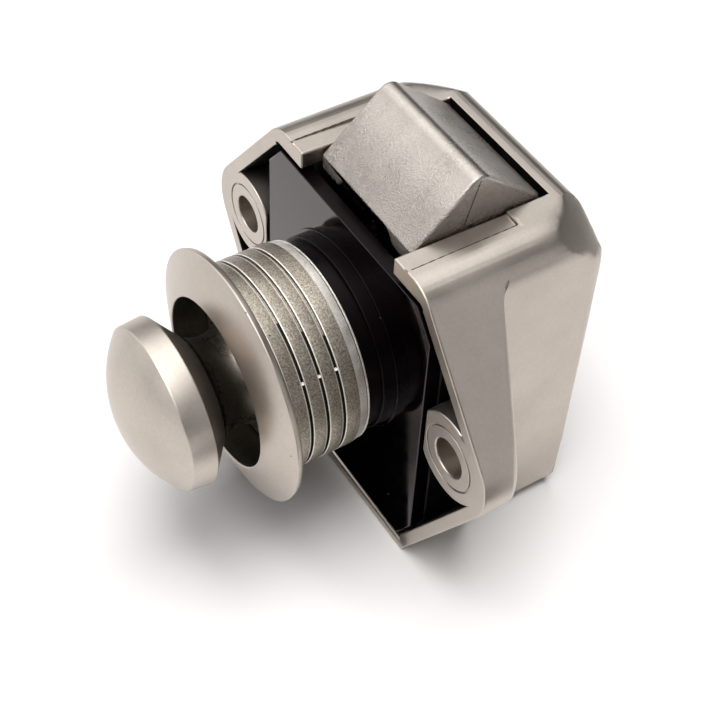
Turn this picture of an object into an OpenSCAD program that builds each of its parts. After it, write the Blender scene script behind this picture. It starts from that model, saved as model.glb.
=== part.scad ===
// Push button lock for a cabinet door.
// The door face of the casing is the plane y = 0, with the screw holes on z = 0.
// The knob points to -Y, the bolt to +Z, and +X is to the right as seen from the knob.

/* [Casing] */
// Distance of each screw hole from the knob's axis
hole_x = 23; // [21:0.5:27]
// Radius of the screw holes
hole_r = 2.5; // [1.5:0.1:3]
// Radius of the round end of each ear
ear_r = 7.1; // [6.6:0.1:8]
// How far the round end of each ear lies outside its screw hole
ear_shift = 0.1; // [0:0.1:0.5]
// How far the round end of each ear lies below its screw hole
ear_drop = 0.5; // [0:0.1:0.8]
// Radius of the boss around each screw hole
boss_r = 5.95; // [5:0.05:6]
// Height of the top face above the screw holes
top_z = 20.3; // [19:0.1:24]
// Half the width of the top face at the front
top_half = 15.5; // [14:0.1:16.5]
// Depth of the bottom face below the screw holes
base_z = 26.9; // [25:0.1:32]
// Half the width of the bottom face at the front
base_half = 16; // [15:0.1:17]
// Depth of the casing, from the door face to its back
case_depth = 24.65; // [24:0.05:30]
// Half the width of the box behind the ears
box_half = 17.6; // [17:0.1:20]
// Depth of the ears where they meet the box
ear_depth_in = 9.2; // [8:0.1:12]
// Depth of the ears at the screw holes
ear_depth_hole = 7.2; // [5:0.1:8]
// Radius of the hollow rounding between the ears and the box
ear_fillet = 1.6; // [0.8:0.1:2]
// Thickness of the outer wall around the ears and the bottom
wall = 1.8; // [1.4:0.1:2.2]
// Thickness of the top wall
top_wall = 2.4; // [1.8:0.1:3]
// Thickness of the side walls of the box
box_wall = 2; // [1.5:0.1:2.4]
// Thickness of the back wall
back_wall = 2.4; // [1.8:0.1:2.6]
// Radius of the rounded edges along the top
crown_r = 4.8; // [2:0.1:5]
// Radius of the rounded edges between the slopes beside the top and the sides
shoulder_r = 2.5; // [1:0.1:3]
// Radius of the rounded edge along the back of the top
back_top_r = 3; // [1:0.1:3.5]
// Radius of the rounded edges down the back
back_side_r = 2.5; // [1:0.1:3]
// How much narrower each side is at the bottom than at the top
side_draft = 0.5; // [0:0.1:0.8]
// How much less deep the casing is at the bottom than at the top
back_draft = 1.3; // [0:0.1:1.4]
// How far the two top corners at the back are rounded off
corner_cut = 4.2; // [0:0.1:4.4]

/* [Bolt] */
// Width of the bolt
bolt_w = 18.8; // [14:0.1:20]
// How far the ridge of the bolt stands above the top face
bolt_out = 6.3; // [5:0.1:8]
// Distance of the ridge from the door face
ridge_y = 11.1; // [9:0.1:13]
// Distance of the bolt's front face from the door face
bolt_front = 2.5; // [2.4:0.1:4]
// Height of the edge where the front slope ends, below the top face
front_drop = 0.9; // [0.3:0.1:2]
// Height of the edge where the back slope ends, below the top face
rear_drop = 0.2; // [0.1:0.1:1.5]
// Radius of the rounded ridge
ridge_r = 1.1; // [0.5:0.1:2]
// Half the width of the hollow under the bolt's front slope, at its roof
hollow_top = 4.2; // [3:0.1:5]
// Half the width of that hollow further down
hollow_half = 6.4; // [5:0.1:7]
// Height where the fronts of the bolt's two legs begin to slant back, below the top face
leg_drop = 2.9; // [2:0.1:4]
// How far the fronts of the legs slant back
leg_back = 4; // [2:0.5:5]
// Depth of the bolt's body below the top face
bolt_body = 9.3; // [8.5:0.1:9.3]
// Travel of the bolt into the casing
bolt_travel = 6; // [4:0.5:6]
// Gap between the bolt and what guides it
bolt_gap = 0.3; // [0.2:0.05:0.5]

/* [Rosette] */
// Radius of the rosette's flange
flange_r = 16; // [15:0.5:20]
// Distance of the flange's rim from the door face of the casing
flange_out = 15.4; // [14:0.1:20]
// Height of the flange's cone, from its rim to its bore
flange_cone = 2; // [1:0.1:3]
// Thickness of the flange at its rim
flange_rim = 0.8; // [0.6:0.1:1.5]
// Radius of the rosette's bore
bore_r = 10.7; // [10.6:0.05:11.2]
// Radius of the collar that fills the hole in the door
collar_r = 13; // [12.7:0.1:14]
// Distance of the collar's end from the door face of the casing
collar_end = 3.9; // [3:0.1:5]
// Distance of the first groove of the collar from the door face of the casing
groove_out = 13.9; // [13:0.05:14]
// Distance between the grooves of the collar
groove_pitch = 2.15; // [1.8:0.05:2.4]
// Width of each groove
groove_w = 0.5; // [0.3:0.05:0.7]
// Depth of each groove
groove_depth = 0.45; // [0.2:0.05:0.6]

/* [Knob] */
// Radius of the knob's head at its back edge
head_r = 10.5; // [9.5:0.05:10.5]
// Radius of the head where its dome begins
dome_r = 10.25; // [9:0.05:10.5]
// Height of the dome
dome_h = 4.1; // [2:0.1:6]
// Width of the head's rim band
band_w = 2.9; // [1.5:0.1:4]
// Distance of the head's back edge from the door face of the casing
head_out = 22.5; // [22:0.1:28]
// Radius of the neck at its waist
neck_r = 5.75; // [5.4:0.05:7]
// Radius of the curve of the neck, seen from the side
neck_curve = 4; // [3:0.1:4.2]
// Travel of the knob into the rosette
knob_travel = 8; // [5:0.5:8]
// Gap between the knob's skirt and the bore
skirt_gap = 0.4; // [0.3:0.05:0.6]

/* [Inside] */
// Radius of the spindle
spindle_r = 3; // [2.5:0.1:3.2]
// Running clearance of round parts, on the radius
run = 0.05; // [0.02:0.01:0.08]
// Radius of the nose that locks the bolt
nose_r = 2; // [1.5:0.1:2.2]
// Distance of the nose's tip from the door face, knob out
nose_tip = 13.9; // [13:0.1:14]
// Thickness of the plate under the bolt
slide_t = 2.2; // [1.5:0.1:2.4]
// Wire thickness of the springs
wire_d = 0.8; // [0.6:0.1:0.9]
// Number of curls of each bolt spring
bolt_curls = 3; // [2:0.5:3]
// Number of curls of the knob's spring
knob_curls = 2.5; // [2:0.5:2.5]

/* [Hidden] */
$fn = 72;

nickel = [0.66, 0.65, 0.62];
raw_cast = [0.62, 0.60, 0.58];
black = [0.07, 0.06, 0.07];
steel = [0.72, 0.73, 0.75];
brass = [0.78, 0.65, 0.36];

// Steps along an arc, and how far a cutting shape runs past the face it cuts
arc_steps = 8;
past = 1;
// Gap between parts that are put together and never move
fit = 0.1;
// Gap between the chassis and the casing at the rounded corners
corner_gap = 0.5;

// Front plate and chassis
plate_face = 0.05;
plate_t = 1.95;
plate_back = plate_face + plate_t;
plate_half = box_half - 0.2;
plate_top = top_z - 3.3;
// Gaps of the plate to the casing's slanted sides, above and below the ears
gap_above = 0.9;
gap_below = 0.4;
// Floor of the boss, on which the washer lies
floor_y = 0.4;
inner_half = box_half - box_wall;
inner_back = case_depth - back_wall;
inner_top = top_z - top_wall;
inner_base = base_z - wall;
chassis_half = inner_half - 2 * fit;
chassis_back = inner_back - fit;
chassis_wall = 2;
chassis_base = inner_base - fit;
channel_half = bolt_w / 2 + bolt_gap;
channel_back = chassis_back - chassis_wall;
bolt_back = channel_back - bolt_gap;
slot_back = bolt_back + 0.85;
slide_half = channel_half - 0.7;
// Flat side of the screw bosses, and the fine ring around each hole
boss_side = box_half + 0.6;
mark_r = boss_r - 1.85;
mark_w = 0.22;
mark_depth = 0.25;
// Shallow recess around the bolt's opening
recess_half = channel_half + 2.5;
recess_back = 0.6 * case_depth;
recess_front_depth = 0.05;
recess_depth = 0.4;
channel_floor = -chassis_base + chassis_wall;

// Stepped boss on the front plate
boss_wide_r = 12.8;
boss_wide_out = 0.2;
boss_step_r = 12.4;
boss_step_out = 1.85;
spigot_r = collar_r - 1.1;
spigot_out = collar_end + 2.1;
hub_r = 5.9;
hub_out = 2.6;
bush_r = hub_r - 1.5;

// Knob
skirt_r = bore_r - skirt_gap;
dome_ball = (dome_r * dome_r + dome_h * dome_h) / (2 * dome_h);
apex_out = head_out + band_w + dome_h;
cone_angle = 50;
waist_out = head_out - 5.7;
skirt_front = waist_out - neck_curve;
skirt_back = 0.4 + knob_travel;
cup_r = skirt_r - 1.5;
cup_gap = 0.8;
cup_out = hub_out + knob_travel + cup_gap;
socket = 7.5;
spindle_front = cup_out + socket;
washer_w = 2.6;
washer_t = 0.5;
spring_clear = 0.5;

// Parts behind the plate, from front to back, with the knob out
ring_t = 0.8;
ring_r = 4.6;
ring_y = plate_back + fit;
arm_y = ring_y + ring_t + fit;
arm_t = 2.6;
arm_back = arm_y + arm_t;
arm_z = 2;
hub_ring_r = 4.4;
nose_y = arm_back + 0.3;
nose_stud_r = 1.2;
nose_stud = 3;
slide_y = nose_tip + 0.4;
slide_back = slide_y + slide_t;
nose_hole_r = nose_r + 0.25;

// Heart cam and its follower
cam_gap = 0.7;
cam_half = (inner_half - slide_half - cam_gap - 0.9) / 2;
cam_x = -(inner_half - cam_gap - cam_half);
track_w = 1;
track_depth = 1.2;
track_swing = cam_half - 1.1;
lever_len = 7;
lever_half = 0.8;
pivot_y = inner_back - 2.75;
pivot_r = 0.8;
track_start = pivot_y - lever_len;
track_end = track_start - knob_travel;
cam_back = track_start + 1.5;
follower_r = 0.38;
lever_z = arm_z + 0.3;
lever_t = 1;
lever_r = 1.6;
leaf_z = lever_z + lever_t + 0.3;
leaf_t = 0.3;
leaf_half = 1;
leaf_tip = 1;
leaf_tail = 2.2;
window_top = leaf_z + 2;

// Bolt's plate, foot and springs
bolt_bottom = top_z - bolt_body;
slot_depth = 4;
slide_top = bolt_bottom + slot_depth;
foot_t = 2;
foot_z = -11;
foot_front = 7.8;
spring_x = 5.5;
spring_y = 11;
spring_r = 3;
peg_r = 1.8;
peg_len = 1.1;
pin_len = 1.7;
rivet_r = 1;
rivet_x = 5;

// Point where the tangent from p, outside, touches a circle of radius r around c
function tangent_angle(p, c, r, side) =
  atan2(p.y - c.y, p.x - c.x) + side * acos(r / norm(p - c));
function on_circle(c, r, a) = c + r * [cos(a), sin(a)];

// Corner p of an outline, between the directions of its neighbours, as an arc of radius r
function unit(v) = v / norm(v);
function arc(c, r, a0, a1, n = arc_steps) = [for (i = [0:n]) on_circle(c, r, a0 + (a1 - a0) * i / n)];
function corner(a, p, b, r) =
  let (u = unit(a - p), v = unit(b - p), half = acos(u * v) / 2,
       c = p + unit(u + v) * r / sin(half),
       t0 = p + u * r / tan(half), t1 = p + v * r / tan(half),
       a0 = atan2(t0.y - c.y, t0.x - c.x), turn = atan2(t1.y - c.y, t1.x - c.x) - a0,
       sweep = turn > 180 ? turn - 360 : turn < -180 ? turn + 360 : turn)
  arc(c, r, a0, a0 + sweep);
// Outline with a radius at each of its corners, where 0 keeps the corner sharp
function rounded(pts, radii) = let (n = len(pts))
  [for (i = [0:n - 1]) each radii[i] == 0 ? [pts[i]]
     : corner(pts[(i + n - 1) % n], pts[i], pts[(i + 1) % n], radii[i])];
// Right half of an outline and its mirror image, joined into one
function mirrored(half) = concat(half, [for (i = [len(half) - 1:-1:0]) [-half[i].x, half[i].y]]);

// Front outline of the casing: the ears' sides are tangents from the corners to the ears' ends
ear = [hole_x + ear_shift, -ear_drop];
upper_angle = tangent_angle([top_half, top_z], ear, ear_r, -1);
lower_angle = tangent_angle([base_half, -base_z], ear, ear_r, 1);
// Place on such a side, moved inwards by w, at the height z, or height at the place x
function side_x(a, p, w, z) = (cos(a) * p.x + sin(a) * p.y - w - sin(a) * z) / cos(a);
function side_z(a, p, w, x) = (cos(a) * (p.x - x) + sin(a) * p.y - w) / sin(a);
function upper_x(w, z) = side_x(upper_angle, [top_half, top_z], w, z);
function lower_x(w, z) = side_x(lower_angle, [base_half, -base_z], w, z);
function ear_half(w, w_top, r_top) = concat(
  corner([0, top_z - w_top], [upper_x(w, top_z - w_top), top_z - w_top],
    on_circle(ear, ear_r - w, upper_angle), r_top),
  arc(ear, ear_r - w, upper_angle, lower_angle, 2 * arc_steps),
  [[lower_x(w, -base_z + w), -base_z + w]]);
// Depth of the ears' sloping backs at the distance x from the axis
ear_slope = (ear_depth_in - ear_depth_hole) / (hole_x - box_half);
function ear_depth(x) = ear_depth_in - (x - box_half) * ear_slope;

// Solid of an outline in x and z, from the depth y0 to the depth y1
module along_y(pts, y0, y1) {
  translate([0, y1, 0]) rotate([90, 0, 0]) linear_extrude(y1 - y0) polygon(pts);
}
// Solid of an outline in y and z, over the width w about the middle
module along_x(pts, w) {
  rotate([90, 0, 90]) translate([0, 0, -w / 2]) linear_extrude(w) polygon(pts);
}
// Solid of an outline in x and y, from the height z0 to the height z1
module along_z(pts, z0, z1) {
  translate([0, 0, z0]) linear_extrude(z1 - z0) polygon(pts);
}
// Turned solid of a profile of [radius, distance in front of the door face]
module turned(profile) {
  rotate([90, 0, 0]) rotate_extrude() polygon(profile);
}
// Round bar along Y at x and z
module bar_y(r, y0, y1, x = 0, z = 0) {
  translate([x, y1, z]) rotate([90, 0, 0]) cylinder(r = r, h = y1 - y0);
}
module block(x0, x1, y0, y1, z0, z1) {
  translate([x0, y0, z0]) cube([x1 - x0, y1 - y0, z1 - z0]);
}

// Centre line of a coil of the mean radius r and the length len, as points from end to end
rings = 8;
sides = 6;
function coil_line(r, len, curls) = [for (i = [0:curls * rings])
  [r * cos(360 * i / rings), r * sin(360 * i / rings), wire_d / 2 + (len - wire_d) * i / (curls * rings)]];
// Least gap between the wire of neighbouring curls, measured on the centre line's points
function coil_gap(line) = min([for (i = [0:len(line) - 1]) for (j = [i + rings / 2 + 1:1:len(line) - 1])
  norm(line[i] - line[j])]) - wire_d;
// One unbroken wire along a coil's centre line
module coil(r, len, curls) {
  line = coil_line(r, len, curls);
  echo(str("coil of ", curls, " curls, least gap ", coil_gap(line), " mm"));
  last = curls * rings;
  skin = [for (i = [0:last]) for (k = [0:sides - 1])
    let (a = 360 * i / rings, t = 360 * k / sides)
    line[i] + wire_d / 2 * [cos(t) * cos(a), cos(t) * sin(a), sin(t)]];
  walls = [for (i = [0:last - 1]) for (k = [0:sides - 1]) let (a = i * sides, n = (k + 1) % sides)
    each [[a + k, a + sides + k, a + n], [a + n, a + sides + k, a + sides + n]]];
  start = [for (k = [1:sides - 2]) [0, k, k + 1]];
  end = [for (k = [1:sides - 2]) [last * sides, last * sides + k + 1, last * sides + k]];
  polyhedron(skin, concat(walls, start, end));
}

// Straight leg of the cam's track between two points, with round ends
module track_leg(a, b) {
  reach = norm(b - a);
  translate([a.x, a.y, arm_z - track_depth]) rotate([0, 0, atan2(b.y - a.y, b.x - a.x)]) {
    cylinder(d = track_w, h = track_depth + past);
    translate([reach, 0, 0]) cylinder(d = track_w, h = track_depth + past);
    translate([0, -track_w / 2, 0]) cube([reach, track_w, track_depth + past]);
  }
}

// Space that stays where a ball rounds the two top corners at the back, less the thickness w
module corner_ball(w) {
  centre = [0, case_depth / 3, top_z - 1.45 * box_half];
  translate(centre) sphere(r = norm([box_half, case_depth, top_z] - centre) - corner_cut - w);
  block(-2 * box_half, 2 * box_half, -2 * past, 2 * case_depth, -2 * base_z, centre.z);
}
// Box of the casing: three outlines that cross, one for each direction, and a ball for the top corners
module case_box() {
  shoulder_z = top_z - (box_half - top_half) / tan(upper_angle);
  low_half = box_half - side_draft;
  heel_z = -base_z + (low_half - base_half) / tan(-lower_angle);
  slope = norm([box_half - top_half, top_z - shoulder_z]);
  crown = min(crown_r, 0.69 * slope / tan(45 - upper_angle / 2));
  shoulder = min(shoulder_r, 0.3 * slope / tan(upper_angle / 2));
  front_view = mirrored(rounded(
    [[0, top_z], [top_half, top_z], [box_half, shoulder_z], [low_half, heel_z],
     [base_half, -base_z], [0, -base_z]],
    [0, crown, shoulder, 1, 0, 0]));
  side_view = rounded(
    [[0, top_z], [case_depth, top_z], [case_depth - back_draft, -base_z], [0, -base_z]],
    [0, back_top_r, back_side_r, 0]);
  plan = mirrored(rounded(
    [[0, 0], [box_half, 0], [box_half, case_depth], [0, case_depth]], [0, 0, back_side_r, 0]));
  intersection() {
    along_y(front_view, 0, case_depth);
    along_x(side_view, 2 * box_half);
    along_z(plan, -base_z, top_z);
    corner_ball(0);
  }
}
// Solid in front of the ears' sloping backs, less the thickness w
module before_ear_back(w) {
  far = hole_x + ear_r + past;
  root = box_half - side_draft / 2;
  along_z(mirrored(concat([[far, -past]], [[far, ear_depth(far) - w]],
    corner([far, ear_depth(far) - w], [root, ear_depth(root) - w], [root, case_depth], ear_fillet))),
    -base_z - past, top_z + past);
}
module ear_solid() {
  intersection() {
    along_y(mirrored(ear_half(0, 0, crown_r)), 0, ear_depth_in + ear_fillet);
    before_ear_back(0);
  }
}
// Both screw bosses, cut straight on the side of the axis
module screw_bosses() {
  for (side = [-1, 1]) intersection() {
    bar_y(boss_r, 0, ear_depth_hole, side * hole_x);
    translate([side * (boss_side + hole_x), 0, 0])
      block(-hole_x, hole_x, -past, case_depth, -base_z, top_z);
    before_ear_back(0);
  }
}
module casing() color(nickel) {
  inner = mirrored(ear_half(wall, top_wall, crown_r - wall));
  difference() {
    union() {
      difference() {
        union() {
          case_box();
          ear_solid();
        }
        along_y(inner, -past, plate_back);
        difference() {
          intersection() {
            along_y(inner, -past, ear_depth_in);
            before_ear_back(wall);
          }
          block(-box_half, box_half, -2 * past, case_depth, -base_z - past, top_z + past);
        }
        intersection() {
          block(-inner_half, inner_half, -past, inner_back, -inner_base, inner_top);
          corner_ball(box_wall);
        }
      }
      screw_bosses();
    }
    block(-channel_half, channel_half, -past, slot_back, inner_top - past, top_z + past);
    along_x([[-past, top_z - recess_front_depth], [recess_back, top_z - recess_depth],
      [recess_back, top_z + past], [-past, top_z + past]], 2 * recess_half);
    for (side = [-1, 1]) {
      bar_y(hole_r, -past, case_depth, side * hole_x);
      translate([side * hole_x, mark_depth, 0]) rotate([90, 0, 0]) rotate_extrude()
        translate([mark_r, 0]) square([mark_w, past]);
    }
  }
}

// Right half of the plate's outline
plate_outline = let (low = -base_z + wall + gap_below)
  [[0, plate_top], [upper_x(wall + gap_above, plate_top), plate_top],
   [plate_half, side_z(upper_angle, [top_half, top_z], wall + gap_above, plate_half)],
   [plate_half, side_z(lower_angle, [base_half, -base_z], wall + gap_below, plate_half)],
   [lower_x(wall + gap_below, low), low], [0, low]];
module front_plate() color(black) {
  difference() {
    union() {
      along_y(mirrored(plate_outline), plate_face, plate_back);
      bar_y(boss_wide_r, -boss_wide_out, plate_back);
      bar_y(boss_step_r, -boss_step_out, plate_back);
      bar_y(spigot_r, -spigot_out, plate_back);
    }
    bar_y(bore_r, -spigot_out - past, floor_y);
    bar_y(bush_r + fit / 2, -past, plate_back + past);
  }
  difference() {
    bar_y(hub_r, -hub_out, plate_back);
    bar_y(bush_r + fit / 2, -hub_out - past, plate_back + past);
  }
}

module rosette() color(nickel) {
  lip = 0.14;
  floor_r = collar_r - groove_depth;
  taper_out = collar_end + 1.5;
  first = groove_out - groove_w / 2;
  profile = concat(
    [[bore_r, flange_out + flange_cone - 0.1], [bore_r + 0.1, flange_out + flange_cone],
     [flange_r - 0.1, flange_out + 0.1], [flange_r, flange_out - 0.1],
     [flange_r - 0.3, flange_out - flange_rim], [collar_r - lip, flange_out - flange_rim]],
    [for (i = [0:3]) let (top = first - i * groove_pitch + groove_w)
      each [[collar_r - lip, top], [floor_r, top - 0.05], [floor_r, top - groove_w + 0.05],
            [collar_r - lip, top - groove_w], [collar_r, top - groove_w - lip],
            [collar_r, i < 3 ? top - groove_pitch + lip : taper_out]]],
    [[collar_r - 0.2, collar_end + 0.1], [collar_r - 0.3, collar_end],
     [spigot_r + fit / 2, collar_end], [spigot_r + fit / 2, spigot_out + fit],
     [bore_r, spigot_out + fit]]);
  turned(profile);
  for (i = [0:3]) let (mid = first - i * groove_pitch + groove_w / 2)
    rotate([0, -33.6, 0])
      block(floor_r - 0.1, collar_r - lip / 2, -mid - groove_w / 2, -mid + groove_w / 2, -0.2, 0.2);
}

module chassis() color(black) {
  difference() {
    intersection() {
      block(-chassis_half, chassis_half, plate_back + 0.05, chassis_back, -chassis_base, inner_top - fit);
      corner_ball(box_wall + corner_gap);
    }
    block(-channel_half, channel_half, 0, channel_back, channel_floor, top_z);
    block(-chassis_half - past, -channel_half + past, 0, inner_back, -arm_z - 0.4, window_top);
    bar_y(nose_r + 0.5, channel_back - past, inner_back);
    translate([cam_x, pivot_y, window_top - past]) cylinder(r = pivot_r + fit / 2, h = past + 2);
    for (side = [-1, 1]) translate([side * spring_x, spring_y, channel_floor - 1])
      cylinder(r = peg_r + fit / 2, h = 1 + past);
  }
}

module spindle_bush() color(brass) {
  difference() {
    bar_y(bush_r, -hub_out, plate_back);
    bar_y(spindle_r + run, -hub_out - past, plate_back + past);
  }
}

module spring_washer() color(steel) {
  difference() {
    bar_y(hub_r + washer_w, floor_y - washer_t, floor_y);
    bar_y(hub_r + fit, floor_y - washer_t - past, floor_y + past);
  }
}

module button_spring() color(steel) {
  seat = floor_y - washer_t - fit;
  translate([0, seat, 0]) rotate([90, 0, 0])
    coil(hub_r + spring_clear + wire_d / 2, cup_out + seat - fit, knob_curls);
}

module follower_pivot() color(steel) {
  translate([cam_x, pivot_y, lever_z]) cylinder(r = pivot_r, h = window_top + 1 - lever_z);
}

module follower_leaf() color(steel) {
  root_y = pivot_y + leaf_tail;
  difference() {
    union() {
      block(cam_x - leaf_half, cam_x + leaf_half, track_start - leaf_tip, root_y, leaf_z, leaf_z + leaf_t);
      block(cam_x - leaf_half, cam_x + leaf_half, root_y - leaf_t, root_y, leaf_z, window_top);
    }
    translate([cam_x, pivot_y, leaf_z - past]) cylinder(r = pivot_r + 0.1, h = 3 * past);
  }
}

module spring_pins() color(steel) {
  for (side = [-1, 1]) translate([side * spring_x, spring_y, channel_floor - 1]) {
    cylinder(r = peg_r, h = 1 + pin_len - 0.4);
    translate([0, 0, 1 + pin_len - 0.4]) cylinder(r1 = peg_r, r2 = peg_r - 0.4, h = 0.4);
  }
}

module bolt_spring(side) color(steel) {
  translate([side * spring_x, spring_y, channel_floor + fit])
    coil(spring_r, foot_z - foot_t - channel_floor - 2 * fit, bolt_curls);
}
module bolt_spring_left() { bolt_spring(-1); }
module bolt_spring_right() { bolt_spring(1); }

module latch_bolt() color(raw_cast) {
  leg_top = top_z - leg_drop;
  side_view = rounded(
    [[bolt_front + leg_back, bolt_bottom], [bolt_front + leg_back, leg_top - 1.2 * leg_back],
     [bolt_front, leg_top], [bolt_front, top_z - front_drop], [ridge_y, top_z + bolt_out + 0.25],
     [bolt_back, top_z - rear_drop], [bolt_back, bolt_bottom]], [0, 0, 0, 0.3, ridge_r, 0.3, 0]);
  difference() {
    along_x(side_view, bolt_w);
    block(-slide_half - fit, slide_half + fit, slide_y - fit / 2, slide_back + fit / 2,
      bolt_bottom - past, slide_top + fit);
    for (side = [-1, 1])
      bar_y(rivet_r, slide_y - 2.5, bolt_back - 0.8, side * rivet_x, bolt_bottom + slot_depth / 2);
    roof = top_z - front_drop - 0.4;
    along_y(mirrored([[0, roof], [hollow_top, roof], [hollow_half, roof - 2.4],
      [hollow_half, bolt_bottom - past], [0, bolt_bottom - past]]), bolt_front - past, ridge_y);
  }
}

module bolt_slide() color(steel) {
  difference() {
    block(-slide_half, slide_half, slide_y, slide_back, foot_z - foot_t, slide_top);
    for (z = [0, bolt_travel]) bar_y(nose_hole_r, slide_y - past, slide_back + past, 0, z);
    for (side = [-1, 1])
      bar_y(rivet_r, slide_y - past, slide_back + past, side * rivet_x, bolt_bottom + slot_depth / 2);
  }
}

module slide_rivets() color(steel) {
  for (side = [-1, 1])
    bar_y(rivet_r, slide_y - 2.5, bolt_back - 0.8, side * rivet_x, bolt_bottom + slot_depth / 2);
}

module spring_foot() color(black) {
  block(-slide_half, slide_half, foot_front, slide_y, foot_z - foot_t, foot_z);
  for (side = [-1, 1]) translate([side * spring_x, spring_y, foot_z - foot_t - peg_len])
    cylinder(r1 = peg_r - 0.3, r2 = peg_r, h = peg_len);
}

module knob() color(nickel) {
  cone_start = [neck_r + neck_curve * (1 - cos(cone_angle)), waist_out + neck_curve * sin(cone_angle)];
  dome_half = asin(dome_r / dome_ball);
  centre = apex_out - dome_ball;
  profile = concat(
    [for (i = [0:arc_steps]) let (a = dome_half * i / arc_steps)
      [dome_ball * sin(a), centre + dome_ball * cos(a)]],
    [[head_r, head_out + 0.15], [head_r - 0.15, head_out]],
    [for (i = [0:2 * arc_steps]) let (a = cone_angle - (cone_angle + 90) * i / (2 * arc_steps))
      [neck_r + neck_curve * (1 - cos(a)), waist_out + neck_curve * sin(a)]],
    [[skirt_r - 0.2, skirt_front], [skirt_r, skirt_front - 0.2], [skirt_r, skirt_back],
     [cup_r, skirt_back], [cup_r, cup_out], [spindle_r, cup_out], [spindle_r, spindle_front],
     [0, spindle_front]]);
  turned(profile);
}

module spindle() color(steel) {
  difference() {
    bar_y(spindle_r, -spindle_front, nose_y);
    bar_y(nose_stud_r, nose_y - nose_stud, nose_y + past);
    difference() {
      bar_y(spindle_r + past, ring_y, ring_y + ring_t);
      bar_y(spindle_r - 0.6, ring_y - past, ring_y + ring_t + past);
    }
  }
}

module lock_nose() color(steel) {
  bar_y(nose_stud_r, nose_y - nose_stud, nose_y);
  bar_y(nose_r, nose_y, nose_tip - 0.6);
  translate([0, nose_tip, 0]) rotate([90, 0, 0]) cylinder(r1 = nose_r - 0.6, r2 = nose_r, h = 0.6);
}

module cam_arm() color(steel) {
  difference() {
    union() {
      block(cam_x + cam_half, 0, arm_y, arm_back, -arm_z, arm_z);
      bar_y(hub_ring_r, arm_y, arm_back);
    }
    bar_y(spindle_r, arm_y - past, arm_back + past);
  }
}

module heart_cam() color(steel) {
  rest = [cam_x, track_start];
  pressed = [cam_x + track_swing, track_end];
  caught = [cam_x, track_end + 1.6];
  released = [cam_x - track_swing, track_end + 0.3];
  difference() {
    block(cam_x - cam_half, cam_x + cam_half, arm_y, cam_back, -arm_z, arm_z);
    track_leg(rest, pressed);
    track_leg(pressed, caught);
    track_leg(caught, released);
    track_leg(released, rest);
  }
}

module retaining_ring() color(steel) {
  difference() {
    bar_y(ring_r, ring_y, ring_y + ring_t);
    bar_y(spindle_r - 0.6, ring_y - past, ring_y + ring_t + past);
    block(-spindle_r + 0.6, spindle_r - 0.6, ring_y - past, ring_y + ring_t + past, -ring_r - past, 0);
  }
}

module track_follower() color(steel) {
  difference() {
    union() {
      translate([cam_x, pivot_y, lever_z]) cylinder(r = lever_r, h = lever_t);
      block(cam_x - lever_half, cam_x + lever_half, track_start, pivot_y, lever_z, lever_z + lever_t);
      translate([cam_x, track_start, lever_z]) cylinder(r = lever_half, h = lever_t);
    }
    translate([cam_x, pivot_y, lever_z - past]) cylinder(r = pivot_r + run, h = lever_t + 2 * past);
    translate([cam_x, track_start, lever_z - past]) cylinder(r = follower_r, h = lever_t + 2 * past);
  }
}

module follower_pin() color(steel) {
  translate([cam_x, track_start, arm_z - track_depth + 0.2])
    cylinder(r = follower_r, h = lever_z + lever_t - arm_z + track_depth - 0.2);
}

casing();
front_plate();
rosette();
chassis();
spindle_bush();
spring_washer();
button_spring();
follower_pivot();
follower_leaf();
spring_pins();
bolt_spring_left();
bolt_spring_right();
latch_bolt();
bolt_slide();
slide_rivets();
spring_foot();
knob();
spindle();
lock_nose();
cam_arm();
heart_cam();
retaining_ring();
track_follower();
follower_pin();
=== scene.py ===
import math

import bmesh
import bpy
import numpy as np
from mathutils import Matrix, Vector


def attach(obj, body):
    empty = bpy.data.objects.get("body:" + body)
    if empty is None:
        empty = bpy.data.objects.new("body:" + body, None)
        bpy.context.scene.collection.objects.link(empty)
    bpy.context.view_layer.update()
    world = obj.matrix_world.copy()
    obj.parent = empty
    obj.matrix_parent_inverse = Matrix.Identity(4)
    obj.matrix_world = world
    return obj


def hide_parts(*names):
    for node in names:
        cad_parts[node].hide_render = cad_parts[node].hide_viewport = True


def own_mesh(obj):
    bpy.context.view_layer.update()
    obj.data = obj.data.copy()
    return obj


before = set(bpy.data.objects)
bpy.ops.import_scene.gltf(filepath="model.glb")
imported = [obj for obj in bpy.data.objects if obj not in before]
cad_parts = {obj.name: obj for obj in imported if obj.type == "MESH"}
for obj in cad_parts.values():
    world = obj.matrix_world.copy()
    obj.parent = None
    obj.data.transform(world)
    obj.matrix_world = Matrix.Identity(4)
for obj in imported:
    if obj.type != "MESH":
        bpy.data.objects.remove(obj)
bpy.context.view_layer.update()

mm = 0.001


# Colour from a hex code: each channel goes from sRGB to linear by the standard curve
def linearColour(code):
    share = np.array([int(code[i:i + 2], 16) for i in (1, 3, 5)]) / 255
    light = np.where(share <= 0.04045, share / 12.92, ((share + 0.055) / 1.055) ** 2.4)
    return (*light.tolist(), 1.0)


# One node with its settings and its inputs, where an input is a value or another node's output
def addNode(tree, kind, settings=None, inputs=None):
    node = tree.nodes.new(kind)
    for name, value in (settings or {}).items():
        setattr(node, name, value)
    for name, value in (inputs or {}).items():
        if isinstance(value, bpy.types.NodeSocket):
            tree.links.new(value, node.inputs[name])
        else:
            node.inputs[name].default_value = value
    return node


def newMaterial(name):
    material = bpy.data.materials.new(name)
    material.use_nodes = True
    material.node_tree.nodes.clear()
    return material, material.node_tree


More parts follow.
